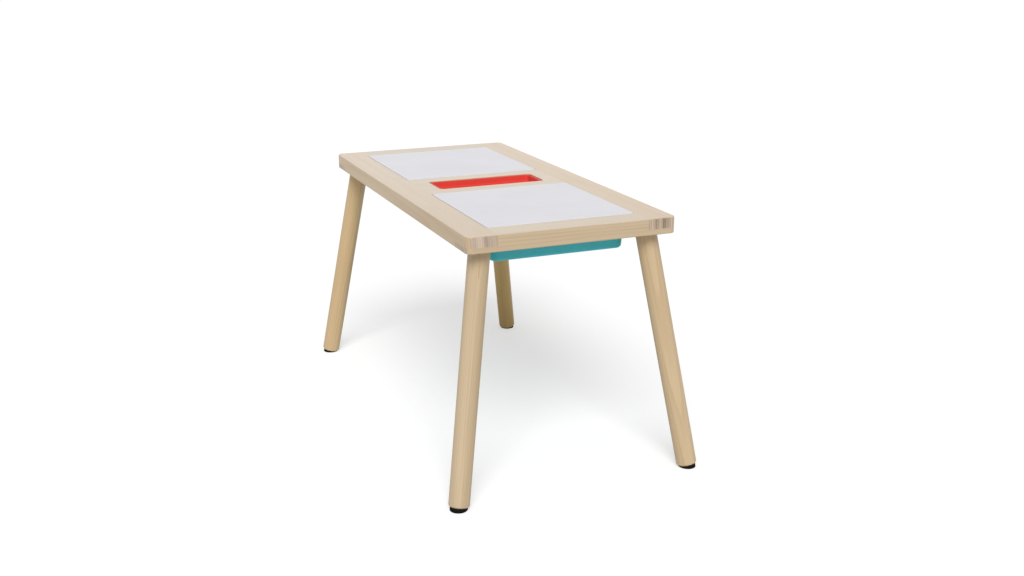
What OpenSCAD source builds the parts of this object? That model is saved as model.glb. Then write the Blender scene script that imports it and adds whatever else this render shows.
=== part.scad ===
/* [Table] */
// Length of the top frame
table_l = 830; // [760:5:940]
// Width of the top frame
table_w = 400; // [370:5:480]
// Height of the work surface above the floor
table_h = 480; // [430:5:560]

/* [Frame] */
// Thickness of the frame
frame_t = 30; // [27:0.5:36]
// Radius of the frame's corners seen from above
corner_r = 12; // [8:1:20]
// Radius that eases the frame's outer edges
edge_r = 1.5; // [1:0.25:3]
// Width of a side rail's top face
side_rail_w = 56; // [52:1:66]
// Width of an end rail's top face
end_rail_w = 51; // [46:1:62]
// Width of the middle board's top face
middle_w = 144; // [130:2:170]
// Height of the side rails' half of the corner lap
upper_lap_t = 19.5; // [18:0.5:21]

/* [Rebates] */
// Width of the ledge under a lid
lid_ledge_w = 4.5; // [3.5:0.25:7]
// Depth of the rebate that takes a lid
lid_rebate = 6.5; // [5.5:0.25:7]
// Width of the ledge under a bin's rim
bin_ledge_w = 5; // [4:0.25:8]
// Depth of the second rebate, which takes the bin's rim
bin_rebate = 4; // [3.5:0.25:5]
// Corner radius of the lid rebate
rebate_r = 8; // [6:0.5:10]

/* [Lids] */
// Thickness of a lid
lid_t = 7; // [4:0.25:9]
// Gap round a lid
lid_gap = 1; // [0.75:0.25:2]
// Radius that eases a lid's edges
lid_edge_r = 0.8; // [0.4:0.1:1.2]

/* [Bins] */
// Height of a bin from its rim to its base
bin_h = 59; // [45:1:120]
// Draft of the bin's walls in degrees
bin_draft = 4; // [2:0.5:6]
// Wall of a bin
bin_wall = 2; // [1.5:0.1:3]
// Corner radius of a bin at its rim
bin_corner_r = 17; // [15:1:30]
// Radius between a bin's walls and its base
bin_base_r = 7; // [5:0.5:9]
// Thickness of a bin's rim
bin_rim_t = 2.5; // [2:0.1:3]
// Gap between a bin and the opening that it hangs in
bin_gap = 1; // [0.6:0.1:1.5]

/* [Pencil tray] */
// Length of the tray
tray_l = 223; // [180:1:240]
// Width of the tray
tray_w = 75; // [65:1:84]
// Height of the tray from its rim to its base
tray_h = 14; // [10:0.5:18]
// Wall of the tray
tray_wall = 1.8; // [1.4:0.1:2.4]
// Width of the tray's rim outside its walls
tray_rim_w = 4; // [3:0.25:5]
// Thickness of the tray's rim
tray_rim_t = 2; // [1.5:0.1:2.5]
// Drop from the work surface to the tray's rim
tray_drop = 1; // [0.5:0.1:2]
// Corner radius of the tray
tray_r = 9; // [8:0.5:12]
// Gap between the tray and its recess
tray_gap = 0.5; // [0.4:0.1:1]
// Draft of the tray's walls in degrees
tray_draft = 9; // [5:1:12]
// Radius between the tray's walls and its base, inside
tray_base_r = 3.5; // [2.5:0.5:4]

/* [Legs] */
// Diameter of a leg at the top
leg_top_d = 39; // [34:0.5:40]
// Diameter of a leg at the foot
leg_foot_d = 38; // [30:0.5:39]
// Lean of a leg from upright in degrees
leg_lean = 12.2; // [8:0.1:14]
// Direction in which a leg leans, in degrees from the table's length
leg_turn = 45; // [35:1:55]
// From the frame's end to the leg's axis
leg_inset_end = 43; // [41:0.5:45]
// From the frame's side to the leg's axis
leg_inset_side = 39; // [37:0.5:42]
// Depth of the leg's socket on its axis
socket_depth = 5; // [4.5:0.1:5.5]
// Gap between a leg and its socket
socket_gap = 0.3; // [0.2:0.05:0.5]
// Chamfer at the bottom of a leg
leg_chamfer = 2.5; // [1:0.25:4]

/* [Feet] */
// Diameter of a foot pad
foot_d = 32; // [26:0.5:33]
// Thickness of a foot pad on the leg's axis
foot_t = 5.5; // [5:0.25:8]
// Thickness of a foot pad above its screw's head
foot_web = 2.2; // [1.5:0.1:2.5]

/* [Fasteners] */
// Diameter of a leg bolt's machine end
bolt_d = 8; // [6:0.5:8]
// Diameter of a leg bolt's wood end
bolt_wood_d = 6.5; // [5:0.25:7]
// Length of a leg bolt inside the leg
bolt_wood_l = 42; // [30:1:60]
// Outer diameter of a threaded insert
insert_d = 12; // [11:0.5:13]
// Length of a threaded insert
insert_l = 15; // [12:0.5:16]
// Shank diameter of a foot screw
screw_d = 3.5; // [3:0.25:4]
// Length of a foot screw inside the leg
screw_l = 16; // [12:1:25]
// Head diameter of a foot screw
screw_head_d = 8; // [6.5:0.25:9]
// Head height of a foot screw
screw_head_t = 2; // [1.5:0.1:2.4]
// Diameter of a dowel
dowel_d = 8; // [6:0.5:9]
// Length of a dowel
dowel_l = 40; // [30:1:42]
// From the middle board's edge to a dowel's axis
dowel_inset = 28; // [20:1:34]
// Gap round a fastener in its hole
fastener_gap = 0.1; // [0.05:0.05:0.2]

/* [Hidden] */
$fn = 64;
// Facets of a small round, such as an eased edge
small_fn = 24;
// Depth by which a cutter passes the face that it opens
over = 1;

frame_z = table_h - frame_t;
lap_z = table_h - upper_lap_t;
lid_ledge_z = table_h - lid_rebate;
bin_ledge_z = lid_ledge_z - bin_rebate;
ledges_w = lid_ledge_w + bin_ledge_w;

// Lid rebate, whose edges are the top faces' inner edges
lid_bay_l = table_l / 2 - end_rail_w - middle_w / 2;
lid_bay_w = table_w - 2 * side_rail_w;
bay_x = middle_w / 2 + lid_bay_l / 2;
bin_bay_l = lid_bay_l - 2 * lid_ledge_w;
bin_bay_w = lid_bay_w - 2 * lid_ledge_w;
window_l = lid_bay_l - 2 * ledges_w;
window_w = lid_bay_w - 2 * ledges_w;
// Inner face of the end rails, where the side rails' shoulders meet them
shoulder_x = bay_x + window_l / 2;

tray_seat_z = table_h - tray_drop - tray_rim_t;
tray_slot_l = tray_l - 2 * tray_rim_w;
tray_slot_w = tray_w - 2 * tray_rim_w;

// Length of a leg's axis from the frame's underside to the floor
leg_axis_l = frame_z / cos(leg_lean);
leg_end = foot_t - leg_axis_l;
// Straight length at the top of a leg, before its taper
leg_neck_l = 20;
bolt_tip_l = 5;
bolt_chamfer = 1;
insert_flange_t = 1.2;
insert_flange_w = 1.5;
dowel_x = bay_x - window_l / 2 - dowel_inset;
dowel_z = (frame_z + bin_ledge_z) / 2;
dowel_chamfer = 1;

frame_colour = "#dcc9a8";
leg_colour = "#cdb48b";
lid_colour = "#e4e4e8";
bin_colour = "#3a9ea5";
tray_colour = "#e23e32";
foot_colour = "#1c1c1c";
steel_colour = "#b9bcc0";
dowel_colour = "#d8bd8a";

// Flat rectangle with round corners
module round_rect(l, w, r) {
    square([l - 2 * r, w], center = true);
    square([l, w - 2 * r], center = true);
    for (x = [-1, 1], y = [-1, 1]) {
        translate([x * (l / 2 - r), y * (w / 2 - r)]) circle(r);
    }
}

// Straight block with round upright corners, standing on z
module round_block(l, w, h, r, z) {
    translate([0, 0, z]) linear_extrude(h) round_rect(l, w, r);
}

// Block with round upright corners: children() is its upright section from a corner's axis out to r
module swept_block(l, w, r, bottom, top) {
    cx = l / 2 - r;
    cy = w / 2 - r;
    translate([-cx, -cy, bottom]) cube([2 * cx, 2 * cy, top - bottom]);
    for (side = [-1, 1]) {
        translate([side * cx, 0, 0]) rotate([90, 0, 90 - 90 * side])
            linear_extrude(2 * cy, center = true) children();
        translate([0, side * cy, 0]) rotate([90, 0, 90 * side])
            linear_extrude(2 * cx, center = true) children();
        for (turn = [0, 1]) {
            translate([side * (turn == 0 ? 1 : -1) * cx, side * cy, 0])
                rotate([0, 0, 90 * turn + (side < 0 ? 180 : 0)]) rotate_extrude(angle = 90) children();
        }
    }
}

// Upright section with eased top and bottom corners
module eased_section(r, t, e) {
    square([r - e, t]);
    translate([0, e]) square([r, t - 2 * e]);
    for (z = [e, t - e]) {
        translate([r - e, z]) circle(e, $fn = small_fn);
    }
}

module eased_block(l, w, t, r, e) {
    swept_block(l, w, r, 0, t) eased_section(r, t, e);
}

// Centre of the round between a drafted wall and the base, for a wall that starts at r
function base_round_x(r, h, d, f) = r - (f + (h - f) * sin(d)) / cos(d);

// Section of a drafted tub: wall, base round and base, with the wall at r where z is 0
module tub_section(r, h, d, f, top) {
    xc = base_round_x(r, h, d, f);
    polygon([
        [0, top],
        [r + top * tan(d), top],
        [xc + f * cos(d), f - h - f * sin(d)],
        [xc, -h],
        [0, -h]
    ]);
    intersection() {
        translate([xc, f - h]) circle(f);
        translate([xc, -h]) square([f + over, h]);
    }
}

// Solid drafted tub with its rim at z 0, hanging down by h
module tub_solid(l, w, h, r, d, f, top) {
    swept_block(l, w, r, -h, top) tub_section(r, h, d, f, top);
}

// Open tub hung by a flat rim: l and w are its walls' outer size under the rim
module tub(l, w, h, r, d, f, wall, rim_w, rim_t, rim_r) {
    difference() {
        union() {
            tub_solid(l, w, h, r, d, f, 0);
            round_block(l + 2 * rim_w, w + 2 * rim_w, rim_t, rim_r, -rim_t);
        }
        tub_solid(l - 2 * wall, w - 2 * wall, h - wall, r - wall, d, f - wall, over);
    }
}

// Places children in a bay: x is 1 for the front bay and -1 for the back one
module in_bay(x) {
    translate([x * bay_x, 0, 0]) children();
}

// Lid and bin rebates of one bay, with the window through the frame
module bay_cut(x) {
    in_bay(x) {
        round_block(lid_bay_l, lid_bay_w, lid_rebate + over, rebate_r, lid_ledge_z);
        round_block(bin_bay_l, bin_bay_w, bin_rebate + over, rebate_r, bin_ledge_z);
        translate([-window_l / 2, -window_w / 2, frame_z - over]) cube([window_l, window_w, frame_t]);
    }
}

// Places children on the leg's axis where it meets the frame's underside, z up along the leg
module on_leg(x, y) {
    mirror([x < 0 ? 1 : 0, 0, 0]) mirror([0, y < 0 ? 1 : 0, 0])
        translate([table_l / 2 - leg_inset_end, table_w / 2 - leg_inset_side, frame_z])
            rotate([0, 0, leg_turn]) rotate([0, -leg_lean, 0]) children();
}

// Socket for the leg's square top, and the hole for the threaded insert above it
module socket_cut(x, y) {
    on_leg(x, y) {
        translate([0, 0, -leg_top_d]) cylinder(h = leg_top_d + socket_depth, d = leg_top_d + 2 * socket_gap);
        cylinder(h = socket_depth + insert_l + fastener_gap, d = insert_d + 2 * fastener_gap);
        cylinder(
            h = socket_depth + insert_flange_t + fastener_gap,
            d = insert_d + 2 * insert_flange_w + 2 * fastener_gap
        );
    }
}

module frame_outline() {
    translate([0, 0, frame_z]) eased_block(table_l, table_w, frame_t, corner_r, edge_r);
}

// Holes for the dowels between the middle board and the side rails
module dowel_holes() {
    for (x = [-1, 1], y = [-1, 1]) {
        translate([x * dowel_x, y * window_w / 2, dowel_z]) rotate([90, 0, 0])
            cylinder(h = dowel_l + 2 * fastener_gap, d = dowel_d + 2 * fastener_gap, center = true);
    }
}

// Side rail: rebated ledges between the shoulders and upper lap tongues over the end rails
module side_rail(y) {
    inner = window_w / 2;
    lid_edge = lid_bay_w / 2;
    color(frame_colour) difference() {
        intersection() {
            frame_outline();
            mirror([0, y < 0 ? 1 : 0, 0]) union() {
                translate([-table_l / 2, lid_edge, lap_z]) cube([table_l, side_rail_w, upper_lap_t]);
                translate([-shoulder_x, lid_edge, frame_z]) cube([2 * shoulder_x, side_rail_w, frame_t]);
                translate([-shoulder_x, inner + bin_ledge_w, frame_z])
                    cube([2 * shoulder_x, lid_ledge_w + over, lid_ledge_z - frame_z]);
                translate([-shoulder_x, inner, frame_z])
                    cube([2 * shoulder_x, bin_ledge_w + over, bin_ledge_z - frame_z]);
            }
        }
        socket_cut(-1, y);
        socket_cut(1, y);
        dowel_holes();
    }
}

// End rail: full width under the side rails' tongues, and up to the top face between them
module end_rail(x) {
    color(frame_colour) difference() {
        intersection() {
            frame_outline();
            mirror([x < 0 ? 1 : 0, 0, 0]) union() {
                translate([shoulder_x, -table_w / 2, frame_z]) cube([table_l, table_w, lap_z - frame_z]);
                translate([shoulder_x, -lid_bay_w / 2, frame_z]) cube([table_l, lid_bay_w, frame_t]);
            }
        }
        bay_cut(x);
        socket_cut(x, -1);
        socket_cut(x, 1);
    }
}

// Middle board: its ends step over the side rails' ledges, and a slot takes the tray
module middle_board() {
    board_w = 2 * (bay_x - window_l / 2);
    color(frame_colour) difference() {
        union() {
            translate([-board_w / 2, -window_w / 2, frame_z]) cube([board_w, window_w, frame_t]);
            translate([-board_w / 2, -bin_bay_w / 2, bin_ledge_z])
                cube([board_w, bin_bay_w, table_h - bin_ledge_z]);
            translate([-board_w / 2, -lid_bay_w / 2, lid_ledge_z]) cube([board_w, lid_bay_w, lid_rebate]);
        }
        bay_cut(-1);
        bay_cut(1);
        round_block(
            tray_w + 2 * tray_gap, tray_l + 2 * tray_gap, table_h, tray_r + tray_gap, tray_seat_z
        );
        round_block(
            tray_slot_w, tray_slot_l, frame_t + 2 * over, tray_r - tray_rim_w / 2, frame_z - over
        );
        dowel_holes();
    }
}

module middle_dowels() {
    color(dowel_colour) for (x = [-1, 1], y = [-1, 1]) {
        translate([x * dowel_x, y * window_w / 2, dowel_z]) rotate([90, 0, 0]) {
            cylinder(h = dowel_l - 2 * dowel_chamfer, d = dowel_d, center = true, $fn = small_fn);
            for (end = [0, 1]) {
                mirror([0, 0, end]) translate([0, 0, dowel_l / 2 - dowel_chamfer])
                    cylinder(h = dowel_chamfer, d1 = dowel_d, d2 = dowel_d - 2 * dowel_chamfer, $fn = small_fn);
            }
        }
    }
}

// Round leg with a straight neck, a slight taper and a chamfered end
module leg(x, y) {
    foot_r = leg_foot_d / 2;
    color(leg_colour) on_leg(x, y) difference() {
        rotate_extrude() polygon([
            [0, leg_end],
            [foot_r - leg_chamfer, leg_end],
            [foot_r, leg_end + leg_chamfer],
            [leg_top_d / 2, socket_depth - leg_neck_l],
            [leg_top_d / 2, socket_depth],
            [0, socket_depth]
        ]);
        translate([0, 0, socket_depth - bolt_wood_l])
            cylinder(h = bolt_wood_l + over, d = bolt_wood_d + 2 * fastener_gap);
        translate([0, 0, leg_end - over])
            cylinder(h = screw_l + over + fastener_gap, d = screw_d + 2 * fastener_gap);
    }
}

// Wedge pad: square to the leg on top and level on the floor
module foot(x, y) {
    color(foot_colour) difference() {
        on_leg(x, y) translate([0, 0, -leg_axis_l - foot_t]) cylinder(h = 2 * foot_t, d = foot_d);
        translate([-table_l, -table_w, -foot_d]) cube([2 * table_l, 2 * table_w, foot_d]);
        on_leg(x, y) {
            translate([0, 0, leg_end - foot_t]) cylinder(h = 2 * foot_t, d = screw_d + 2 * fastener_gap);
            translate([0, 0, leg_end - foot_web - foot_t])
                cylinder(h = foot_t, d = screw_head_d + 2 * fastener_gap);
        }
    }
}

// Hanger bolts: a machine end in the insert and a pointed wood end in the leg
module leg_bolts() {
    color(steel_colour) for (x = [-1, 1], y = [-1, 1]) {
        on_leg(x, y) translate([0, 0, socket_depth]) rotate_extrude() polygon([
            [0, fastener_gap - bolt_wood_l],
            [bolt_wood_d / 2, bolt_tip_l - bolt_wood_l],
            [bolt_wood_d / 2, 0],
            [bolt_d / 2, 0],
            [bolt_d / 2, insert_l - 2 * bolt_chamfer],
            [bolt_d / 2 - bolt_chamfer, insert_l - bolt_chamfer],
            [0, insert_l - bolt_chamfer]
        ]);
    }
}

// Threaded inserts: a flanged sleeve let into the socket's floor
module leg_inserts() {
    bore_r = bolt_d / 2 + fastener_gap;
    color(steel_colour) for (x = [-1, 1], y = [-1, 1]) {
        on_leg(x, y) translate([0, 0, socket_depth]) rotate_extrude() polygon([
            [bore_r, 0],
            [insert_d / 2 + insert_flange_w, 0],
            [insert_d / 2 + insert_flange_w, insert_flange_t],
            [insert_d / 2, insert_flange_t],
            [insert_d / 2, insert_l],
            [bore_r, insert_l]
        ]);
    }
}

// Pan-head screws that hold the foot pads
module foot_screws() {
    seat_z = leg_end - foot_web;
    color(steel_colour) for (x = [-1, 1], y = [-1, 1]) {
        on_leg(x, y) {
            translate([0, 0, seat_z - screw_head_t]) cylinder(h = screw_head_t, d = screw_head_d);
            translate([0, 0, seat_z - over]) cylinder(h = over + foot_web + screw_l, d = screw_d);
        }
    }
}

module lid(x) {
    color(lid_colour) in_bay(x) translate([0, 0, lid_ledge_z])
        eased_block(
            lid_bay_l - 2 * lid_gap, lid_bay_w - 2 * lid_gap, lid_t, rebate_r - lid_gap, lid_edge_r
        );
}

// Bin that hangs by its rim on the second ledge
module bin(x) {
    color(bin_colour) in_bay(x) translate([0, 0, bin_ledge_z + bin_rim_t])
        tub(
            window_l - 2 * bin_gap, window_w - 2 * bin_gap, bin_h, bin_corner_r, bin_draft, bin_base_r,
            bin_wall, bin_ledge_w, bin_rim_t, rebate_r - bin_gap
        );
}

// Shallow tray that drops into the slot of the middle board
module pencil_tray() {
    color(tray_colour) translate([0, 0, tray_seat_z + tray_rim_t])
        tub(
            tray_slot_w - 2 * tray_gap, tray_slot_l - 2 * tray_gap, tray_h, tray_r, tray_draft,
            tray_base_r + tray_wall, tray_wall, tray_rim_w + tray_gap, tray_rim_t, tray_r
        );
}

side_rail(-1);  // side_rail_left
side_rail(1);  // side_rail_right
end_rail(1);  // end_rail_front
end_rail(-1);  // end_rail_back
middle_board();
middle_dowels();
leg(1, -1);  // leg_front_left
leg(1, 1);  // leg_front_right
leg(-1, -1);  // leg_back_left
leg(-1, 1);  // leg_back_right
foot(1, -1);  // foot_front_left
foot(1, 1);  // foot_front_right
foot(-1, -1);  // foot_back_left
foot(-1, 1);  // foot_back_right
leg_bolts();
leg_inserts();
foot_screws();
lid(1);  // lid_front
lid(-1);  // lid_back
bin(1);  // bin_front
bin(-1);  // bin_back
pencil_tray();
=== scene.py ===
"""Looks of a low wooden play table with lift-off lids, hanging bins and a pencil tray.

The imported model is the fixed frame. Each sub-assembly below builds its meshes in metres, in the
table's own frame: +X runs along the table towards its front end, +Y across it and +Z up.
"""

import logging
import math
from dataclasses import dataclass, field
from enum import Enum
from typing import Callable, Iterable, Sequence

import bmesh
import bpy
from mathutils import Euler, Matrix, Vector
from mathutils.bvhtree import BVHTree


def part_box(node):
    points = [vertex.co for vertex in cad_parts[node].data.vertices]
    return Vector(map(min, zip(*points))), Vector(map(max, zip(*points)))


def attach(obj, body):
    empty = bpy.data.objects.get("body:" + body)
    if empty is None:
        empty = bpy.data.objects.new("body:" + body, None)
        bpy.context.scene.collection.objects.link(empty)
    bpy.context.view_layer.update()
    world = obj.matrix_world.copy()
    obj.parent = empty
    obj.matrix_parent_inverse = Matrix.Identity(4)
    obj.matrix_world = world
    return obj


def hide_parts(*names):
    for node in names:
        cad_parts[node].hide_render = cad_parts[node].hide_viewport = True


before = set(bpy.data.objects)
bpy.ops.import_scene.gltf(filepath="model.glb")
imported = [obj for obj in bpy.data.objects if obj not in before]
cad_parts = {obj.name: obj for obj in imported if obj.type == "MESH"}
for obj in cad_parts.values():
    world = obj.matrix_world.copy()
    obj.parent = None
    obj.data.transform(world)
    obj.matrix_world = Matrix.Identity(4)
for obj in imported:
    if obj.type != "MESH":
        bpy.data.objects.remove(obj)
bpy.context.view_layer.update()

log = logging.getLogger("play_table")

Colour = tuple[float, float, float, float]
Point = tuple[float, float, float]
Pair = tuple[float, float]
Section = list[Pair]
Edge = bmesh.types.BMEdge

MM = 0.001
UP = Vector((0, 0, 1))
# Points closer than this are one.
WELD = 1e-6
# Faces of a packed board that meet at a smaller angle are one.
FLAT = math.radians(0.4)
# Edges whose faces meet at a greater angle are eased.
SHARP = math.radians(40)
# Where the legs' axes meet the frame's underside, from the middle.
LEG_PLACE = (372 * MM, 161 * MM)


def tint(red: float, green: float, blue: float) -> Colour:
    """Turns a colour in display values from 0 to 255 into scene values.

    Args:
        red: Red share.
        green: Green share.
        blue: Blue share.

    Returns:
        The colour as red, green, blue and alpha.
    """
    def scene(value: float) -> float:
        """Undoes the display curve for one share."""
        share = value / 255
        return share / 12.92 if share <= 0.04045 else ((share + 0.055) / 1.055) ** 2.4

    return scene(red), scene(green), scene(blue), 1.0


def toned(colour: Colour, factor: float, lift: float = 0.0) -> Colour:
    """Makes a colour lighter or darker, by a factor on its shares and a lift added to them."""
    red, green, blue = (min(1.0, share * factor + lift) for share in colour[:3])
    return red, green, blue, 1.0


@dataclass
class Sock:
    """A node's output that takes part in Python expressions."""

    shader: "Shader"
    node: bpy.types.Node
    # Name or place of the output.
    out: str | int

    @property
    def socket(self) -> bpy.types.NodeSocket:
        """Gives the output itself."""
        return self.node.outputs[self.out]

    def __add__(self, other: "Number") -> "Sock":
        """Adds a value."""
        return self.shader.math("ADD", self, other)

    def __sub__(self, other: "Number") -> "Sock":
        """Takes a value away."""
        return self.shader.math("SUBTRACT", self, other)

    def __rsub__(self, other: "Number") -> "Sock":
        """Takes this from a value."""
        return self.shader.math("SUBTRACT", other, self)

    def __mul__(self, other: "Number") -> "Sock":
        """Multiplies by a value."""
        return self.shader.math("MULTIPLY", self, other)

    def __truediv__(self, other: "Number") -> "Sock":
        """Divides by a value."""
        return self.shader.math("DIVIDE", self, other)

    def __pow__(self, other: "Number") -> "Sock":
        """Raises to a power."""
        return self.shader.math("POWER", self, other)

    def __abs__(self) -> "Sock":
        """Drops the sign."""
        return self.shader.math("ABSOLUTE", self)

    __radd__ = __add__
    __rmul__ = __mul__

    def fract(self) -> "Sock":
        """Gives the part after the point."""
        return self.shader.math("FRACT", self)

    def floor(self) -> "Sock":
        """Gives the whole part."""
        return self.shader.math("FLOOR", self)

    def swing(self, weight: float) -> "Sock":
        """Turns a pattern about one half into a weighted one about zero."""
        return (self - 0.5) * weight

    def ease(self, low: float, high: float) -> "Sock":
        """Rises smoothly from 0 at one value to 1 at another."""
        values = {"Value": self, "From Min": low, "From Max": high}
        return self.shader.node("ShaderNodeMapRange", {"interpolation_type": "SMOOTHSTEP"}, values)


Number = Sock | float


class Shader:
    """The nodes of a material or of the world."""

    def __init__(self, owner: bpy.types.Material | bpy.types.World) -> None:
        """Starts without nodes.

        Args:
            owner: The material or world.
        """
        self.owner = owner
        owner.use_nodes = True
        self.tree = owner.node_tree
        self.tree.nodes.clear()

    def node(
        self, kind: str, settings: dict | None = None, values: dict | None = None,
        out: str | int = 0,
    ) -> Sock:
        """Adds a node.

        Args:
            kind: The node's type.
            settings: Its settings, set before its values.
            values: What its sockets hold: a number, a colour, a vector or another node's output.
            out: Name or place of the output that is wanted.

        Returns:
            That output.
        """
        node = self.tree.nodes.new(kind)
        for key, value in (settings or {}).items():
            setattr(node, key, value)
        for key, value in (values or {}).items():
            if isinstance(value, Sock):
                self.tree.links.new(value.socket, node.inputs[key])
            else:
                node.inputs[key].default_value = value
        return Sock(self, node, out)

    def math(self, operation: str, *values: Number) -> Sock:
        """Adds a Math node on up to two values."""
        return self.node("ShaderNodeMath", {"operation": operation}, dict(enumerate(values)))

    def place(self) -> Sock:
        """Gives the place on the piece, in metres."""
        return self.node("ShaderNodeTexCoord", out="Object")

    def stretched(self, vector: Sock, scale: Point) -> Sock:
        """Scales a place along each of its axes."""
        return self.node("ShaderNodeVectorMath", {"operation": "MULTIPLY"}, {0: vector, 1: scale})

    def split(self, vector: Sock) -> list[Sock]:
        """Gives the three shares of a vector."""
        return [self.node("ShaderNodeSeparateXYZ", None, {0: vector}, axis) for axis in "XYZ"]

    def noise(
        self, vector: Sock, scale: float, detail: float = 2.0, roughness: float = 0.5
    ) -> Sock:
        """Adds a noise pattern about one half, with its waves to a metre as scale."""
        values = {"Vector": vector, "Scale": scale, "Detail": detail, "Roughness": roughness}
        return self.node("ShaderNodeTexNoise", None, values)

    def chance(self, value: Sock) -> Sock:
        """Gives a random value from 0 to 1 for each whole number."""
        return self.node("ShaderNodeTexWhiteNoise", {"noise_dimensions": "1D"}, {"W": value})

    def blend(
        self, share: Number, first: Sock | Colour, second: Sock | Colour, how: str = "MIX"
    ) -> Sock:
        """Mixes two colours, by the share of the second one."""
        settings = {"data_type": "RGBA", "blend_type": how, "clamp_factor": True}
        return self.node("ShaderNodeMix", settings, {0: share, 6: first, 7: second}, 2)

    def relief(self, height: Sock, depth: float, strength: float) -> Sock:
        """Turns a height pattern into a surface normal."""
        values = {"Height": height, "Distance": depth, "Strength": strength}
        return self.node("ShaderNodeBump", None, values, "Normal")

    def surface(self, **values: Number | Colour) -> bpy.types.Material:
        """Ends the material with one surface shader.

        Args:
            values: The surface shader's sockets, with low lines in place of spaces.

        Returns:
            The finished material.
        """
        sockets = {key.replace("_", " "): value for key, value in values.items()}
        self.end(self.node("ShaderNodeBsdfPrincipled", None, sockets))
        return self.owner

    def end(self, shade: Sock, kind: str = "ShaderNodeOutputMaterial") -> None:
        """Joins a shader to the output."""
        self.node(kind, None, {"Surface": shade})


@dataclass(frozen=True)
class PaleTimber:
    """Pale planed wood under clear matt lacquer, with its rings about a line along the grain."""

    name: str
    # A point of that line, and the turn that brings the Z axis along it.
    heart: Point
    turn: Point
    # Early and late wood on long faces, then pale and dark streaks of end grain.
    light: Colour = tint(197, 177, 149)
    dark: Colour = tint(173, 148, 113)
    end_light: Colour = tint(188, 170, 150)
    end_dark: Colour = tint(146, 126, 104)
    ring: float = 3.4 * MM
    # Shift of the end grain's streaks across the rings.
    age: float = 0.0
    # Weights of the rings, of the whole colour and of the lacquer's shine.
    depth: float = 0.5
    tone: float = 1.0
    lacquer: float = 1.0

    # How far the rings wander, slowly and finely.
    SWAY = 22 * MM
    RIPPLE = 1.6 * MM
    # Where late wood rises and falls in a ring, as shares of its width.
    LATE_RISE = (0.35, 0.9)
    LATE_FALL = (0.92, 1.0)
    # Late wood of the palest year against that of the darkest.
    PALEST = 0.35
    # How squarely a face meets the grain where end grain starts and is full.
    END_GRAIN = (0.72, 0.97)

    def material(self) -> bpy.types.Material:
        """Makes the wood from rings, fibres and slow changes of tone.

        Returns:
            The material, whose grain runs along the turned Z axis.
        """
        shader = Shader(bpy.data.materials.new(self.name))
        pose = {"Vector": shader.place(), "Location": self.heart, "Rotation": self.turn}
        wood = shader.node("ShaderNodeMapping", {"vector_type": "TEXTURE"}, pose)

        def drawn(along: float, scale: float, detail: float = 2.0, rough: float = 0.5) -> Sock:
            """Adds a noise pattern that is drawn out along the grain."""
            return shader.noise(shader.stretched(wood, (1.0, 1.0, along)), scale, detail, rough)

        across, aside, _ = shader.split(wood)
        sway = drawn(along=0.16, scale=7.0)
        ripple = drawn(along=0.05, scale=90.0)
        reach = (across * across + aside * aside) ** 0.5 + sway * self.SWAY + ripple * self.RIPPLE
        turns = reach / self.ring
        place = turns.fract()
        late = place.ease(*self.LATE_RISE) * (1.0 - place.ease(*self.LATE_FALL))
        late = late * (self.PALEST + (1.0 - self.PALEST) * shader.chance(turns.floor()))
        fibre = drawn(along=0.02, scale=620.0, detail=4.0, rough=0.65)
        streak = drawn(along=0.03, scale=75.0, detail=3.0, rough=0.6)
        cloud = drawn(along=0.3, scale=11.0)
        grain = late * self.depth + fibre.swing(0.55) + streak.swing(0.8) + cloud.swing(0.6)
        long_face = shader.blend(grain + 0.16, self.light, self.dark)
        fleck = shader.noise(wood, scale=1500.0)
        shifted = shader.node("ShaderNodeCombineXYZ", None, {"X": reach + self.age})
        years = shader.noise(shifted, scale=65.0, detail=1.0)
        end_grain = late * 0.5 + years.swing(2.4) + fleck.swing(0.6) + cloud.swing(0.5)
        end_face = shader.blend(end_grain + 0.35, self.end_light, self.end_dark)
        axis = Euler(self.turn).to_matrix() @ UP
        facing = {0: shader.node("ShaderNodeTexCoord", out="Normal"), 1: tuple(axis)}
        tilt = shader.node("ShaderNodeVectorMath", {"operation": "DOT_PRODUCT"}, facing, "Value")
        square = abs(tilt).ease(*self.END_GRAIN)
        colour = shader.blend(square, long_face, end_face)
        height = fibre * (1.0 - square) + late * 0.35 + fleck * square
        toner = (self.tone, self.tone, self.tone, 1.0)
        return shader.surface(
            Base_Color=shader.blend(1.0, colour, toner, "MULTIPLY"),
            Roughness=0.42 + fibre.swing(0.25) + square * 0.2,
            Normal=shader.relief(height, 0.1 * MM, 0.5),
            Specular_IOR_Level=0.5,
            Coat_Weight=self.lacquer,
            Coat_Roughness=0.3,
        )


@dataclass(frozen=True)
class MouldedPlastic:
    """Coloured plastic from a mould with a fine, even texture."""

    name: str
    colour: Colour
    roughness: float
    gloss: float = 0.45
    grit: float = 0.03 * MM

    def material(self) -> bpy.types.Material:
        """Makes the plastic, with faint flow clouds and a fine spark texture.

        Returns:
            The material.
        """
        shader = Shader(bpy.data.materials.new(self.name))
        place = shader.place()
        flowing = shader.stretched(place, (1.0, 1.0, 2.5))
        flow = shader.noise(flowing, scale=22.0, detail=3.0, roughness=0.6)
        grit = shader.noise(place, scale=2400.0, roughness=0.6)
        wiped = shader.stretched(place, (1.0, 4.0, 1.0))
        scuff = shader.noise(wiped, scale=160.0, detail=4.0, roughness=0.7)
        darker, lighter = toned(self.colour, 0.9), toned(self.colour, 1.12, 0.006)
        return shader.surface(
            Base_Color=shader.blend(flow.swing(0.8) + grit.swing(0.5) + 0.5, darker, lighter),
            Roughness=self.roughness + scuff.swing(0.16) + grit.swing(0.1),
            Normal=shader.relief(grit, self.grit, 0.6),
            Specular_IOR_Level=self.gloss,
        )


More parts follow.
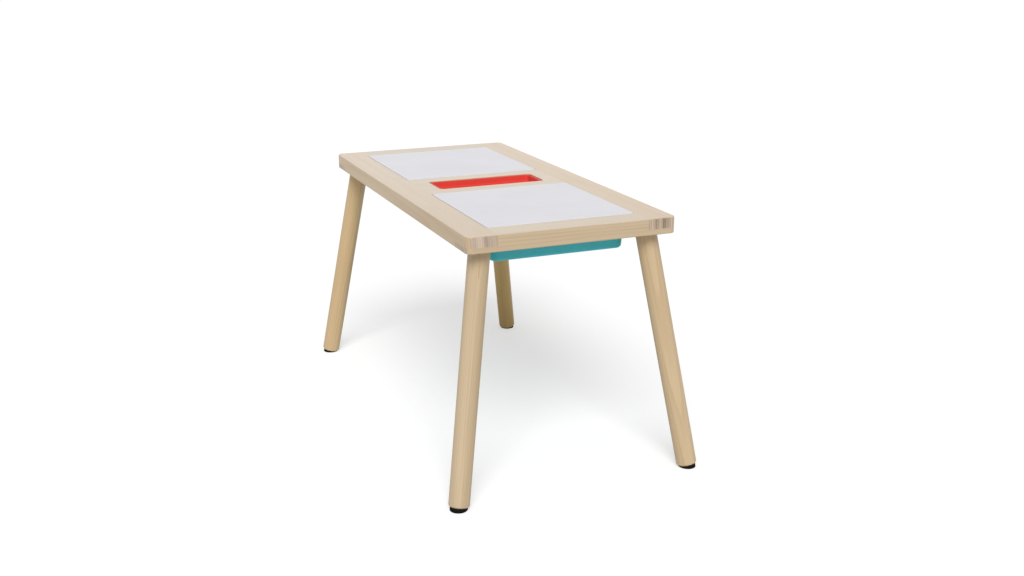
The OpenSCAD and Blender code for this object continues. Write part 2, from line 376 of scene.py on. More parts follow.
@dataclass(frozen=True)
class SatinLaminate:
    """Smooth white facing on a board, with a hairline seam between face and edge band."""

    name: str
    colour: Colour
    # Height of the seam, and distances from it at which it starts to fade and has gone.
    seam: float
    seam_fade: Pair = (0.05 * MM, 0.16 * MM)
    seam_colour: Colour = tint(120, 116, 110)

    def material(self) -> bpy.types.Material:
        """Makes the facing, with a pearl texture and a darker seam at one height.

        Returns:
            The material.
        """
        shader = Shader(bpy.data.materials.new(self.name))
        place = shader.place()
        pearl = shader.noise(place, scale=1300.0)
        smear = shader.noise(place, scale=9.0, detail=3.0, roughness=0.6)
        height = shader.split(place)[2]
        seam = 1.0 - abs(height - self.seam).ease(*self.seam_fade)
        clouds = smear.swing(0.9) + pearl.swing(0.5) + 0.25
        body = shader.blend(clouds, self.colour, toned(self.colour, 0.93))
        return shader.surface(
            Base_Color=shader.blend(seam * 0.5, body, self.seam_colour),
            Roughness=0.42 + smear.swing(0.2) + pearl.swing(0.1),
            Normal=shader.relief(pearl, 0.02 * MM, 0.5),
            Specular_IOR_Level=0.4,
        )


@dataclass(frozen=True)
class BlackRubber:
    """Black moulded rubber with a dusty bloom."""

    name: str
    black: Colour = tint(7, 7, 7)
    dust: Colour = tint(22, 21, 20)

    def material(self) -> bpy.types.Material:
        """Makes the rubber.

        Returns:
            The material.
        """
        shader = Shader(bpy.data.materials.new(self.name))
        place = shader.place()
        bloom = shader.noise(place, scale=130.0, detail=4.0, roughness=0.65)
        grit = shader.noise(place, scale=1900.0)
        return shader.surface(
            Base_Color=shader.blend(bloom.ease(0.4, 0.8), self.black, self.dust),
            Roughness=0.75 + bloom.swing(0.3),
            Normal=shader.relief(grit, 0.05 * MM, 0.6),
            Specular_IOR_Level=0.12,
        )


@dataclass(frozen=True)
class ZincSteel:
    """Bright zinc plating on turned steel."""

    name: str
    blue: Colour = tint(196, 202, 214)
    straw: Colour = tint(216, 208, 190)

    def material(self) -> bpy.types.Material:
        """Makes the plating, with its faint straw and blue film.

        Returns:
            The material.
        """
        shader = Shader(bpy.data.materials.new(self.name))
        place = shader.place()
        film = shader.noise(place, scale=60.0, detail=3.0)
        tool = shader.noise(place, scale=1600.0, detail=3.0, roughness=0.7)
        return shader.surface(
            Base_Color=shader.blend(film.ease(0.35, 0.65), self.blue, self.straw),
            Metallic=1.0,
            Roughness=0.3 + tool.swing(0.3),
            Normal=shader.relief(tool, 0.02 * MM, 0.4),
        )


def add_object(name: str, data: bpy.types.ID) -> bpy.types.Object:
    """Puts an object into the scene.

    Args:
        name: Its name.
        data: Its mesh, lamp or camera.

    Returns:
        The object.
    """
    item = bpy.data.objects.new(name, data)
    bpy.context.scene.collection.objects.link(item)
    return item


def points(geometry: Iterable) -> list[bmesh.types.BMVert]:
    """Picks the points out of what an operator gives."""
    return [item for item in geometry if isinstance(item, bmesh.types.BMVert)]


def ends(edges: Iterable[Edge]) -> list[bmesh.types.BMVert]:
    """Gives the end points of some edges, each once and in their order."""
    return list(dict.fromkeys(vert for edge in edges for vert in edge.verts))


def is_level(item: Edge | bmesh.types.BMFace, height: float) -> bool:
    """Tells whether all points of an edge or a face lie at one height."""
    return all(abs(vert.co.z - height) < WELD for vert in item.verts)


@dataclass(frozen=True)
class Thread:
    """A screw thread's ridge, with heights from the base of its piece."""

    radius: float
    depth: float
    pitch: float
    low: float
    high: float
    # How far the ridge reaches down from its crest, against its depth.
    root: float = 1.25
    # Share of the pitch that it fills.
    fill: float = 0.95
    steps: int = 16


class Workpiece:
    """A mesh on the bench."""

    def __init__(self) -> None:
        """Starts with nothing."""
        self.bm = bmesh.new()

    @classmethod
    def from_node(cls, node: str) -> "Workpiece":
        """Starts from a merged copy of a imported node.

        Args:
            node: The node's name.

        Returns:
            The piece, with flat areas as single faces.
        """
        piece = cls()
        piece.bm.from_mesh(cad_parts[node].data)
        piece.weld()
        bmesh.ops.dissolve_limit(
            piece.bm, angle_limit=FLAT, verts=piece.bm.verts, edges=piece.bm.edges
        )
        return piece

    def row(self, section: Section, shift: Point = (0, 0, 0)) -> list[Edge]:
        """Joins the points of an upright section by edges.

        Args:
            section: Points as distance from the axis and height.
            shift: Where the section's axis stands.

        Returns:
            The edges.
        """
        start = Vector(shift)
        verts = [self.bm.verts.new(start + Vector((x, 0, z))) for x, z in section]
        return [self.bm.edges.new(pair) for pair in zip(verts, verts[1:])]

    @classmethod
    def turned(cls, section: Section, segments: int) -> "Workpiece":
        """Turns a section once round the Z axis.

        Args:
            section: Points as radius and height.
            segments: Facets round the turn.

        Returns:
            The turned piece.
        """
        piece = cls()
        edges = piece.row(section)
        bmesh.ops.spin(
            piece.bm, geom=edges + ends(edges), cent=(0, 0, 0), axis=UP, angle=math.tau,
            steps=segments, use_merge=True,
        )
        piece.weld()
        return piece

    def wind(self, thread: Thread, base: float) -> None:
        """Winds a thread's ridge up the Z axis.

        Args:
            thread: Its sizes.
            base: Height of the piece's base.
        """
        low = base + thread.low
        foot = thread.radius - thread.depth * thread.root
        crest = (thread.radius, low + thread.pitch / 2)
        start = self.row([(foot, low), crest, (foot, low + thread.pitch * thread.fill)])
        corners = ends(start)
        ring = start + [self.bm.edges.new((corners[0], corners[-1]))]
        self.bm.faces.new(corners)
        steps = int((thread.high - thread.low - thread.pitch) / thread.pitch * thread.steps)
        spun = bmesh.ops.spin(
            self.bm, geom=ring + corners, cent=(0, 0, 0), axis=UP,
            dvec=(0, 0, thread.pitch / thread.steps), angle=math.tau * steps / thread.steps,
            steps=steps,
        )
        self.bm.faces.new(points(spun["geom_last"]))

    def pull(self, edges: Sequence[Edge], run: Vector) -> None:
        """Draws faces out from some edges, as far as a run."""
        moved = bmesh.ops.extrude_edge_only(self.bm, edges=edges)["geom"]
        bmesh.ops.translate(self.bm, vec=run, verts=points(moved))

    def swept(self, section: Section, half: Pair, steps: int) -> None:
        """Sweeps a section round one corner of a rounded rectangle and out to its middle lines.

        Args:
            section: Points as distance from the corner's axis and height. A section that starts or
                ends on the axis gets its flat middle as well.
            half: Distance of the corner's axis from the middle, along X and along Y.
            steps: Facets round the corner.
        """
        corner = (*half, 0)
        to_x_axis, to_y_axis = Vector((0, -half[1], 0)), Vector((-half[0], 0, 0))
        first = self.row(section, corner)
        spun = bmesh.ops.spin(
            self.bm, geom=first + ends(first), cent=corner, axis=UP, angle=math.pi / 2, steps=steps
        )
        last = [e for e in spun["geom_last"] if isinstance(e, Edge)]
        self.pull(first, to_x_axis)
        self.pull(last, to_y_axis)
        for reach, height in (section[0], section[-1]):
            if reach > WELD:
                continue
            centre_line = [
                e for e in self.bm.edges
                if is_level(e, height)
                and all(abs(v.co.x - half[0]) < WELD for v in e.verts)
                and e.calc_length() > half[1] - WELD
            ]
            self.pull(centre_line[:1], to_y_axis)
        self.weld()

    def everything(self) -> list:
        """Gives all points, edges and faces."""
        return self.bm.verts[:] + self.bm.edges[:] + self.bm.faces[:]

    def mirrored(self) -> None:
        """Adds the mirror images across both middle planes."""
        for axis in "XY":
            bmesh.ops.mirror(
                self.bm, geom=self.everything(), matrix=Matrix.Identity(4), merge_dist=WELD,
                axis=axis,
            )
        self.weld()

    def bridged(self, height: float) -> None:
        """Joins the two open loops that lie at one height."""
        edges = [e for e in self.bm.edges if e.is_boundary and is_level(e, height)]
        bmesh.ops.bridge_loops(self.bm, edges=edges)

    def eased(self, pick: Callable[[Edge], bool], width: float, segments: int = 3) -> None:
        """Rounds the edges that a test picks.

        Args:
            pick: Test on an edge.
            width: Width of the rounding.
            segments: Facets across it.
        """
        edges = [e for e in self.bm.edges if pick(e)]
        bmesh.ops.bevel(
            self.bm, geom=edges, offset=width, offset_type="OFFSET", segments=segments,
            profile=0.5, affect="EDGES", clamp_overlap=True, material=-1,
        )

    def cut(self, point: Point, normal: Point, clear: bool = False) -> None:
        """Cuts the piece at a plane.

        Args:
            point: A point of the plane.
            normal: The plane's direction.
            clear: Whether what lies behind the plane goes.
        """
        bmesh.ops.bisect_plane(
            self.bm, geom=self.everything(), dist=WELD, plane_co=point, plane_no=normal,
            clear_inner=clear,
        )

    def placed(self, matrix: Matrix) -> None:
        """Moves the whole piece."""
        bmesh.ops.transform(self.bm, matrix=matrix, verts=self.bm.verts)

    def take(self, other: "Workpiece", matrix: Matrix) -> None:
        """Adds a moved copy of another piece's mesh.

        Args:
            other: The other piece, which stays as it is.
            matrix: Where its copy goes.
        """
        mesh = bpy.data.meshes.new("copy")
        other.bm.to_mesh(mesh)
        mesh.transform(matrix)
        self.bm.from_mesh(mesh)
        bpy.data.meshes.remove(mesh)

    def weld(self) -> None:
        """Merges doubled points."""
        bmesh.ops.remove_doubles(self.bm, verts=self.bm.verts, dist=WELD)

    def outward(self) -> None:
        """Turns all faces outwards."""
        bmesh.ops.recalc_face_normals(self.bm, faces=self.bm.faces)

    def shown(
        self, name: str, material: bpy.types.Material, body: str, slot: str, nodes: Sequence[str],
        crease: float = 35.0,
    ) -> None:
        """Makes the piece an object of the table.

        Args:
            name: Name of the object.
            material: Its finish.
            body: Body that it rides on.
            slot: Material slot that the piece belongs to; not used.
            nodes: Nodes that it stands for.
            crease: Angle in degrees past which an edge stays sharp.
        """
        mesh = bpy.data.meshes.new(name)
        self.bm.to_mesh(mesh)
        self.bm.free()
        mesh.shade_smooth()
        mesh.set_sharp_from_angle(angle=math.radians(crease))
        mesh.materials.append(material)
        piece = add_object(name, mesh)
        piece.modifiers.new("weighted normals", "WEIGHTED_NORMAL").keep_sharp = True
        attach(piece, body)
        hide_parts(*nodes)
        log.info("%s: %d faces on %s", name, len(mesh.polygons), body)


def arc(centre: Pair, radius: float, start: float, stop: float, steps: int) -> Section:
    """Gives the points of a round in an upright section, between two angles in degrees."""
    angles = [math.radians(start + (stop - start) * step / steps) for step in range(steps + 1)]
    return [(centre[0] + radius * math.cos(a), centre[1] + radius * math.sin(a)) for a in angles]


def over_box(low: Vector, high: Vector, height: float) -> Matrix:
    """Gives the move from the origin to the middle of a box in plan, at some height."""
    return Matrix.Translation(((low.x + high.x) / 2, (low.y + high.y) / 2, height))


class Grain(Enum):
    """Direction of a board's grain, as the turn that brings the Z axis along it."""

    LENGTHWISE = (0.0, math.pi / 2, 0.0)
    CROSSWISE = (-math.pi / 2, 0.0, 0.0)


@dataclass
class TopFrame:
    """The glued frame of rails round the bays, with the middle board and its dowels."""

    arris: float = 0.5 * MM
    # How far beside an edge a neighbour is looked for.
    probe: float = 0.25 * MM
    # Where the lids' bays and the bins' windows start and end, from the middle.
    bay: Pair = (72 * MM, 364 * MM)
    window: Pair = (81.5 * MM, 354.5 * MM)
    rebate_round: float = 8 * MM
    # Edges this near to a leg's axis belong to its socket and stay crisp.
    socket_reach: float = 30 * MM
    timbers: dict[str, BVHTree] = field(default_factory=dict)

    BOARDS = {
        "side_rail_left": PaleTimber(
            "side_rail_left_wood", (0.1, -0.285, 0.452), Grain.LENGTHWISE.value,
            tint(197, 173, 140), tint(173, 144, 105), tint(199, 181, 163), tint(153, 134, 119),
            ring=4.2 * MM, age=0.037,
        ),
        "side_rail_right": PaleTimber(
            "side_rail_right_wood", (-0.2, 0.29, 0.462), Grain.LENGTHWISE.value,
            tint(197, 170, 132), tint(173, 141, 98), tint(200, 180, 158), tint(122, 103, 87),
            ring=5 * MM, age=0.407,
        ),
        "end_rail_front": PaleTimber(
            "end_rail_front_wood", (0.352, 0.1, 0.432), Grain.CROSSWISE.value, tone=0.985
        ),
        "end_rail_back": PaleTimber(
            "end_rail_back_wood", (-0.42, -0.1, 0.436), Grain.CROSSWISE.value, tone=0.96
        ),
        "middle_board": PaleTimber(
            "middle_board_wood", (0.02, 0.3, 0.35), Grain.CROSSWISE.value, tone=1.01
        ),
    }
    BEECH = PaleTimber(
        "dowel_wood", (0.05, 0.0, 0.45), Grain.CROSSWISE.value,
        tint(214, 182, 136), tint(184, 146, 98), ring=1.8 * MM,
    )

    def build(self) -> None:
        """Builds all boards and dresses the dowels."""
        for node in self.BOARDS:
            self.timbers[node] = BVHTree.FromBMesh(Workpiece.from_node(node).bm)
        for node, wood in self.BOARDS.items():
            self.board(node, wood)
        dress("middle_dowels", self.BEECH.material())

    def board(self, node: str, wood: PaleTimber) -> None:
        """Copies a board and eases the edges that no neighbour covers.

        Args:
            node: The board's node.
            wood: Its finish.
        """
        piece = Workpiece.from_node(node)
        if node.startswith("side_rail"):
            # Each long face is divided where a round of the rebates ends, for even faces.
            round_ends = (self.bay[0] + self.rebate_round, self.bay[1] - self.rebate_round)
            for place in (*round_ends, *self.window):
                for side in (-1, 1):
                    piece.cut((side * place, 0, 0), (1, 0, 0))
        piece.eased(lambda edge: self.is_free(edge, node), self.arris, segments=2)
        piece.shown(f"{node}_board", wood.material(), "table", "frame_wood", [node], crease=30.0)

    def is_free(self, edge: Edge, node: str) -> bool:
        """Tells an outer edge of the frame from one that a glued joint covers.

        Args:
            edge: An edge of the board.
            node: The board's node.

        Returns:
            True for a sharp edge that stands free.
        """
        if len(edge.link_faces) != 2 or not edge.is_convex or edge.calc_face_angle() < SHARP:
            return False
        middle = (edge.verts[0].co + edge.verts[1].co) / 2
        in_plan = Vector((abs(middle.x) - LEG_PLACE[0], abs(middle.y) - LEG_PLACE[1]))
        if in_plan.length < self.socket_reach:
            return False
        first, second = (face.normal for face in edge.link_faces)
        aside = (first - second) * self.probe
        return not any(
            is_inside(tree, place)
            for name, tree in self.timbers.items() if name != node
            for place in (middle + aside, middle - aside)
        )


def is_inside(tree: BVHTree, point: Vector) -> bool:
    """Counts the faces that a slanted ray from a point meets.

    Args:
        tree: The closed mesh.
        point: The point.

    Returns:
        True if the point lies inside the mesh.
    """
    ray = Vector((0.32, 0.21, 0.92)).normalized()
    past_face = ray * (10 * WELD)
    hits = 0
    start = point.copy()
    while True:
        place = tree.ray_cast(start, ray)[0]
        if place is None:
            return hits % 2 == 1
        hits += 1
        start = place + past_face


def dress(node: str, material: bpy.types.Material) -> None:
    """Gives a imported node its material.

    Args:
        node: The node's name.
        material: The finish.
    """
    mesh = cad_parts[node].data
    mesh.materials.clear()
    mesh.materials.append(material)
    log.info("%s: packed shape, dressed", node)


@dataclass(frozen=True)
class Fastener:
    """A turned and threaded piece of hardware."""

    # Radius and height of each corner in millimetres, with heights from the base.
    outline: tuple[Pair, ...]
    threads: tuple[Thread, ...]
    facets: int = 32

    def blank(self, base: float) -> Workpiece:
        """Turns the piece without its threads, on the Z axis."""
        return Workpiece.turned([(r * MM, base + z * MM) for r, z in self.outline], self.facets)

    def build(self, base: float) -> Workpiece:
        """Turns the piece and winds its threads.

        Args:
            base: Height of its base.

        Returns:
            The piece, on the Z axis.
        """
        piece = self.blank(base)
        for thread in self.threads:
            piece.wind(thread, base)
        piece.outward()
        return piece


@dataclass(frozen=True)
class CrossScrew(Fastener):
    """A screw, head down, with a cross sunk into its head."""

    # Half the width of the cross's arms, which reach to the outline's second corner.
    arm: float = 0.45 * MM
    sunk: float = 1.1 * MM
    # Size of the cross's floor against its mouth.
    taper: float = 0.7

    def blank(self, base: float) -> Workpiece:
        """Turns the screw without its thread and sinks the cross.

        Args:
            base: Height of the head's seat.

        Returns:
            The screw, on the Z axis.
        """
        piece = super().blank(base)
        for side in (-self.arm, self.arm):
            piece.cut((side, 0, 0), (1, 0, 0))
            piece.cut((0, side, 0), (0, 1, 0))
        reach, height = self.outline[1]
        cross = []
        for face in piece.bm.faces:
            middle = face.calc_center_median().xy
            in_plan = middle.length < reach * MM and min(map(abs, middle)) < self.arm
            if in_plan and is_level(face, base + height * MM):
                cross.append(face)
        floor = points(bmesh.ops.extrude_face_region(piece.bm, geom=cross)["geom"])
        bmesh.ops.delete(piece.bm, geom=cross, context="FACES")
        narrower = (self.taper, self.taper, 1)
        bmesh.ops.scale(piece.bm, vec=narrower, verts=floor, space=Matrix.Identity(4))
        bmesh.ops.translate(piece.bm, vec=(0, 0, self.sunk), verts=floor)
        return piece


@dataclass(frozen=True)
class Corner:
    """A corner of the table, by its signs along X and Y, with the wood of its leg."""

    signs: tuple[int, int]
    # Where the line that the rings go round crosses the leg's top, from its axis.
    heart: Pair
    light: Colour
    dark: Colour


@dataclass
class Legs:
    """Four turned legs with their pads, screws, bolts and inserts."""

    # Height of the frame's underside, and a leg's lean and its turn in plan.
    seat: float = 450 * MM
    lean: float = math.radians(12.2)
    turn: float = math.radians(45)
    top_d: float = 39 * MM
    foot_d: float = 38 * MM
    # Depth of a leg in its socket, and length of its straight neck.
    socket: float = 5 * MM
    neck: float = 20 * MM
    chamfer: float = 2.5 * MM
    arris: float = 0.6 * MM
    pad_d: float = 32 * MM
    # Thickness of a pad on its axis, and of the web over its screw's head.
    pad_t: float = 5.5 * MM
    pad_web: float = 2.2 * MM
    pad_round: float = 0.6 * MM
    pad_ease: float = 0.7 * MM
    bolt_bore: float = 6.7 * MM
    bolt_depth: float = 42 * MM
    screw_bore: float = 3.7 * MM
    screw_depth: float = 16.1 * MM
    # Width of a bore against the depth of its point.
    drill_point: float = 3.0
    head_recess: float = 8.2 * MM
    segments: int = 96
    pad_segments: int = 64

    CORNERS = {
        "front_left": Corner((1, -1), (0.021, 0.012), tint(197, 177, 148), tint(171, 147, 112)),
        "front_right": Corner((1, 1), (-0.016, 0.024), tint(199, 176, 143), tint(172, 145, 107)),
        "back_left": Corner((-1, -1), (0.03, -0.006), tint(206, 180, 142), tint(179, 149, 105)),
        # The back-right leg's wood is lighter and yellower than the others': painted light that
        # lifts the shade the frame casts on it.
        "back_right": Corner((-1, 1), (-0.012, -0.028), tint(210, 180, 123), tint(185, 150, 90)),
    }
    # Up from the head with its round to the shank and its point.
    SCREW = CrossScrew(
        (
            (0, -2), (2.1, -2), *arc((2.7, -0.7), 1.3, -90, 0, 5),
            (4, 0), (1.3, 0), (1.3, 15), (0, 18),
        ),
        (Thread(1.75 * MM, depth=0.45 * MM, pitch=1.3 * MM, low=3.2 * MM, high=16.5 * MM),),
    )
    # Up from the wood thread's point to its collar and the machine thread.
    BOLT = Fastener(
        (
            (0, -41.5), (2.5, -37), (2.5, -4), (3.25, -3), (3.25, 0),
            (3.4, 0), (3.4, 13), (2.8, 14), (0, 14),
        ),
        (
            Thread(3.25 * MM, depth=0.75 * MM, pitch=2.6 * MM, low=-38 * MM, high=-3.4 * MM),
            Thread(4 * MM, depth=0.6 * MM, pitch=1.25 * MM, low=0.3 * MM, high=13.4 * MM),
        ),
    )
    # Out to the flange, up the sleeve and down the bore.
    INSERT = Fastener(
        (
            (4.4, 0), (7.2, 0), (7.5, 0.3), (7.5, 1.2), (5.2, 1.2),
            (5.2, 15), (4.1, 15), (4.1, 0.3), (4.4, 0),
        ),
        (Thread(6 * MM, depth=0.8 * MM, pitch=2.5 * MM, low=2 * MM, high=14.8 * MM),),
        facets=48,
    )

    def build(self) -> None:
        """Builds each leg and its pad, then the fasteners."""
        rubber = BlackRubber("foot_rubber").material()
        for name, corner in self.CORNERS.items():
            self.leg(name, corner)
            self.pad(name, corner, rubber)
        self.fasteners()

    def end(self) -> float:
        """Height of the leg's lower end on its axis, from the frame's underside."""
        return self.pad_t - self.seat / math.cos(self.lean)

    def stance(self, corner: Corner) -> Matrix:
        """Gives the place and lean of a leg's axis.

        Args:
            corner: The leg's corner.

        Returns:
            The matrix that stands an upright leg there.
        """
        x_sign, y_sign = corner.signs
        heading = math.atan2(y_sign * math.sin(self.turn), x_sign * math.cos(self.turn))
        where = Matrix.Translation((x_sign * LEG_PLACE[0], y_sign * LEG_PLACE[1], self.seat))
        return where @ Matrix.Rotation(heading, 4, "Z") @ Matrix.Rotation(-self.lean, 4, "Y")

    def leg(self, name: str, corner: Corner) -> None:
        """Turns a leg with its bores.

        Args:
            name: The corner's name.
            corner: The corner.
        """
        end = self.end()
        foot_r = self.foot_d / 2
        top_r = self.top_d / 2
        screw_r = self.screw_bore / 2
        bolt_r = self.bolt_bore / 2
        floor = self.socket - self.bolt_depth
        # Radius that rounds the chamfer's corners of 45 degrees, as wide as an arris.
        ease = self.arris / math.tan(math.radians(22.5))
        piece = Workpiece.turned(
            [
                (0, end + self.screw_depth + self.screw_bore / self.drill_point),
                (screw_r, end + self.screw_depth),
                (screw_r, end),
                *arc((foot_r - self.chamfer - self.arris, end + ease), ease, -90, -45, 4),
                *arc((foot_r - ease, end + self.chamfer + self.arris), ease, -45, 0, 4),
                (top_r, self.socket - self.neck),
                (top_r, self.socket - self.arris),
                (top_r - self.arris, self.socket),
                (bolt_r + self.arris / 2, self.socket),
                (bolt_r, self.socket - self.arris / 2),
                (bolt_r, floor),
                (0, floor - self.bolt_bore / self.drill_point),
            ],
            self.segments,
        )
        piece.outward()
        stance = self.stance(corner)
        piece.placed(stance)
        heart = stance @ Vector((*corner.heart, 0.0))
        node = f"leg_{name}"
        wood = PaleTimber(
            f"{node}_wood", tuple(heart), tuple(stance.to_euler()),
            corner.light, corner.dark, tint(184, 160, 126), tint(148, 122, 88),
            ring=2.6 * MM, depth=0.55, lacquer=0.3,
        )
        piece.shown(f"{node}_turned", wood.material(), "table", "leg_wood", [node], crease=28.0)

    def pad(self, name: str, corner: Corner, rubber: bpy.types.Material) -> None:
        """Makes a wedge pad: square to the leg on top, level on the floor, with a screw recess.

        Args:
            name: The corner's name.
            corner: The corner.
            rubber: The finish.
        """
        end = self.end()
        # Reaches below the floor on every side, to be cut there.
        low = end - 3 * self.pad_t
        outer = self.pad_d / 2
        bore = self.screw_bore / 2
        recess = self.head_recess / 2
        flat = outer - self.pad_round
        piece = Workpiece.turned(
            [
                (recess, low),
                (recess, end - self.pad_web),
                (bore, end - self.pad_web),
                (bore, end),
                (flat, end),
                *arc((flat, end - self.pad_round), self.pad_round, 70, 0, 3),
                (outer, low),
            ],
            self.pad_segments,
        )
        stance = self.stance(corner)
        piece.placed(stance)
        piece.cut((0, 0, 0), (0, 0, 1), clear=True)
        piece.weld()
        piece.bridged(0.0)
        piece.outward()
        centre = stance @ Vector((0, 0, end - self.pad_t))
        piece.eased(
            lambda edge: is_level(edge, 0.0)
            and edge.calc_face_angle(0) > SHARP
            and (edge.verts[0].co - centre).length > (recess + outer) / 2,
            self.pad_ease,
        )
        piece.shown(f"foot_{name}_pad", rubber, "table", "foot_rubber", [f"foot_{name}"])

    def fasteners(self) -> None:
        """Makes the screws under the pads, and the bolts and inserts at the legs' tops."""
        steel = ZincSteel("zinc_steel").material()
        patterns = {
            "foot_screws": self.SCREW.build(self.end() - self.pad_web),
            "leg_bolts": self.BOLT.build(self.socket),
            "leg_inserts": self.INSERT.build(self.socket),
        }
        for node, pattern in patterns.items():
            piece = Workpiece()
            for corner in self.CORNERS.values():
                piece.take(pattern, self.stance(corner))
            piece.shown(f"{node}_steel", steel, "table", "zinc_steel", [node])


@dataclass
class Lids:
    """Two flat boards with white facing that drop into the upper rebates."""

    corner: float = 7 * MM
    edge: float = 0.8 * MM
    corner_steps: int = 12
    edge_steps: int = 4
    white: Colour = tint(217, 216, 221)

    def build(self) -> None:
        """Builds both lids where their nodes lie."""
        for end in ("front", "back"):
            low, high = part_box(f"lid_{end}")
            size = high - low
            flat = self.corner - self.edge
            piece = Workpiece()
            piece.swept(
                [
                    (0, 0),
                    *arc((flat, self.edge), self.edge, -90, 0, self.edge_steps),
                    *arc((flat, size.z - self.edge), self.edge, 0, 90, self.edge_steps),
                    (0, size.z),
                ],
                (size.x / 2 - self.corner, size.y / 2 - self.corner),
                self.corner_steps,
            )
            piece.mirrored()
            piece.outward()
            piece.placed(over_box(low, high, low.z))
            facing = SatinLaminate(f"lid_{end}_facing", self.white, high.z - self.edge).material()
            piece.shown(f"lid_{end}_panel", facing, f"{end}_lid", "lid_white", [f"lid_{end}"])


@dataclass
class HungTub:
    """A drafted open tub that hangs by a flat rim."""

    name: str
    node: str
    body: str
    slot: str
    # Radius of the corners below the rim, and slope of the walls in degrees.
    corner: float
    draft: float
    # Outer radius between walls and base, and thickness of both.
    base_round: float
    wall: float
    rim_w: float
    rim_t: float
    rim_corner: float
    steps: int
    finish: MouldedPlastic
    rim_ease: float = 0.7 * MM
    # Angle past which an edge of the rim is eased.
    rim_edge: float = math.radians(60)
    base_steps: int = 8

    def skin(self, inset: float, depth: float, top: float) -> Section:
        """Gives the section of one skin, from the middle of the base up to the rim.

        Args:
            inset: Distance from the outer skin.
            depth: Depth of the skin's base below the rim.
            top: Height at which the skin ends.

        Returns:
            Points as distance from the corner's axis and height.
        """
        reach = self.corner - inset
        curve = self.base_round - inset
        slope = math.radians(self.draft)
        centre = reach - (curve + (depth - curve) * math.sin(slope)) / math.cos(slope)
        return [
            (0, -depth),
            *arc((centre, curve - depth), curve, -90, -self.draft, self.base_steps),
            (reach + top * math.tan(slope), top),
        ]

    def build(self) -> None:
        """Builds both skins and the rim, joins them and rounds the rim."""
        low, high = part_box(self.node)
        size = high - low
        inner = self.rim_w + self.corner
        half = (size.x / 2 - inner, size.y / 2 - inner)
        rim_half = (size.x / 2 - self.rim_corner, size.y / 2 - self.rim_corner)
        piece = Workpiece()
        piece.swept(self.skin(0, size.z, -self.rim_t), half, self.steps)
        piece.swept(self.skin(self.wall, size.z - self.wall, 0), half, self.steps)
        piece.swept([(self.rim_corner, -self.rim_t), (self.rim_corner, 0)], rim_half, self.steps)
        piece.mirrored()
        piece.bridged(-self.rim_t)
        piece.bridged(0.0)
        piece.weld()
        piece.outward()
        piece.eased(
            lambda edge: edge.calc_face_angle(0) > self.rim_edge
            and edge.verts[0].co.z > -self.rim_t - WELD
            and is_level(edge, edge.verts[0].co.z),
            self.rim_ease,
        )
        piece.placed(over_box(low, high, high.z))
        plastic = self.finish.material()
        piece.shown(self.name, plastic, self.body, self.slot, [self.node], crease=40.0)


@dataclass
class Tubs:
    """The two bins and the pencil tray."""

    teal: Colour = tint(56, 189, 209)
    red: Colour = tint(208, 60, 49)

    def build(self) -> None:
        """Builds the bins from one mould and the tray from another."""
        for end in ("front", "back"):
            HungTub(
                f"bin_{end}_shell", f"bin_{end}", f"{end}_bin", "bin_turquoise",
                corner=17 * MM, draft=4, base_round=7 * MM, wall=2 * MM,
                rim_w=5 * MM, rim_t=2.5 * MM, rim_corner=7 * MM, steps=16,
                finish=MouldedPlastic(f"bin_{end}_plastic", self.teal, 0.48),
            ).build()
        HungTub(
            "pencil_tray_shell", "pencil_tray", "tray", "tray_red",
            corner=9 * MM, draft=9, base_round=5.3 * MM, wall=1.8 * MM,
            rim_w=4.5 * MM, rim_t=2 * MM, rim_corner=9 * MM, steps=12,
            finish=MouldedPlastic("tray_plastic", self.red, 0.6, 0.25),
        ).build()


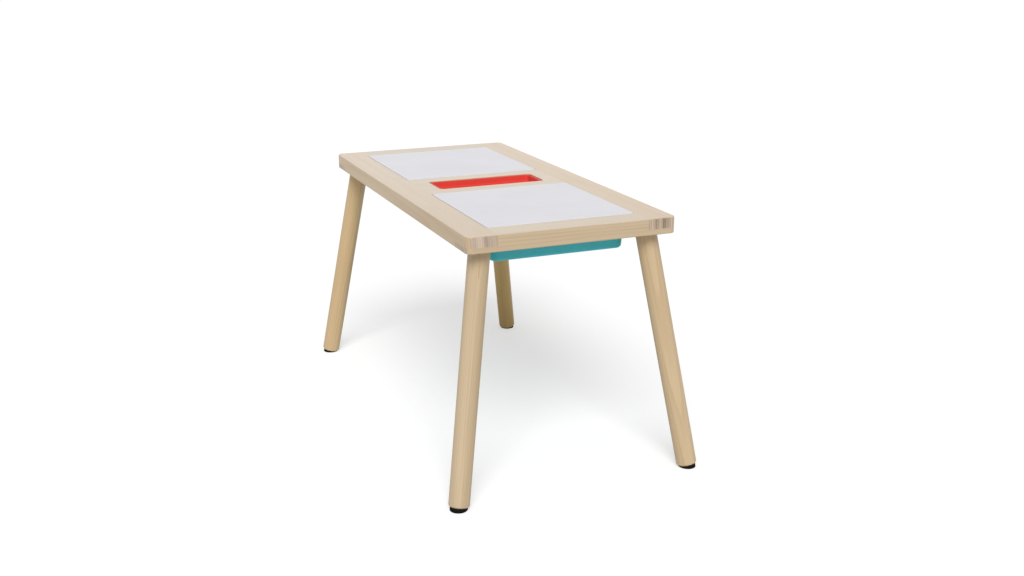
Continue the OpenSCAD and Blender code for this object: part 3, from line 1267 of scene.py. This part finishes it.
@dataclass
class Studio:
    """Pale floor, soft light and the camera."""

    floor_size: float = 60.0
    # The paper's colour for table and lamps, then its colour and glow for the camera.
    floor_tone: Colour = (0.73, 0.69, 0.62, 1.0)
    floor_seen: Colour = (0.51, 0.51, 0.51, 1.0)
    floor_glow: float = 0.515
    # Strength of the light from all round, and of the white that camera and reflections see.
    sky: float = 0.44
    backdrop: float = 1.0
    key_from: Point = (0.89, -0.385, 1.0)
    key_power: float = 2.52
    key_spread: float = math.radians(31)
    eye: Point = (2.1905, -0.8693, 0.9704)
    target: Point = (0.0146, 0.0345, 0.2492)
    # Lens and sensor in millimetres, and shift as shares of the picture's width.
    lens: float = 41.53
    sensor: float = 36.0
    shift: Pair = (0.00698, 0.00203)

    def build(self) -> None:
        """Sets up floor, world, lamp and camera."""
        bpy.context.scene.view_settings.view_transform = "Standard"
        self.floor()
        self.world()
        self.lamp()
        self.camera()

    def floor(self) -> None:
        """Lays a plain floor that shows white outside the shadow."""
        bm = bmesh.new()
        bmesh.ops.create_grid(bm, x_segments=1, y_segments=1, size=self.floor_size / 2)
        mesh = bpy.data.meshes.new("floor")
        bm.to_mesh(mesh)
        bm.free()
        floor = add_object("floor", mesh)
        shader = Shader(bpy.data.materials.new("floor_paper"))
        paper = shader.node("ShaderNodeBsdfDiffuse", None, {"Color": self.floor_tone})
        softer = shader.node("ShaderNodeBsdfDiffuse", None, {"Color": self.floor_seen})
        glow = shader.node("ShaderNodeEmission", None, {"Strength": self.floor_glow})
        shown = shader.node("ShaderNodeAddShader", None, {0: softer, 1: glow})
        seen = shader.node("ShaderNodeLightPath", out="Is Camera Ray")
        shader.end(shader.node("ShaderNodeMixShader", None, {0: seen, 1: paper, 2: shown}))
        mesh.materials.append(shader.owner)

    def world(self) -> None:
        """Lights softly from all round, and shows white to the camera and in reflections."""
        bpy.context.scene.world = bpy.data.worlds.new("studio")
        shader = Shader(bpy.context.scene.world)
        seen = shader.node("ShaderNodeLightPath", out="Is Camera Ray")
        path = seen.node
        for name in ("Is Glossy Ray", "Is Transmission Ray"):
            seen = shader.math("MAXIMUM", seen, Sock(shader, path, name))
        sky, backdrop = (
            shader.node("ShaderNodeBackground", None, {"Color": (1, 1, 1, 1), "Strength": power})
            for power in (self.sky, self.backdrop)
        )
        light = shader.node("ShaderNodeMixShader", None, {0: seen, 1: sky, 2: backdrop})
        shader.end(light, "ShaderNodeOutputWorld")

    def lamp(self) -> None:
        """Lights from one wide, even bank above the front end."""
        data = bpy.data.lights.new("key", "SUN")
        data.angle = self.key_spread
        data.energy = self.key_power
        turn = Vector(self.key_from).to_track_quat("Z", "Y")
        add_object("key", data).matrix_world = turn.to_matrix().to_4x4()

    def camera(self) -> None:
        """Stands the camera where the photograph was taken from."""
        data = bpy.data.cameras.new("camera")
        data.sensor_width = self.sensor
        data.lens = self.lens
        data.shift_x, data.shift_y = self.shift
        camera = add_object("camera", data)
        eye = Vector(self.eye)
        look = (Vector(self.target) - eye).to_track_quat("-Z", "Y").to_matrix().to_4x4()
        camera.matrix_world = Matrix.Translation(eye) @ look
        bpy.context.scene.camera = camera


def main() -> None:
    """Builds each sub-assembly in order."""
    logging.basicConfig(level=logging.INFO, format="%(message)s")
    for assembly in (Studio(), TopFrame(), Legs(), Lids(), Tubs()):
        assembly.build()
        log.info("%s done", type(assembly).__name__)


if __name__ == "__main__":
    main()
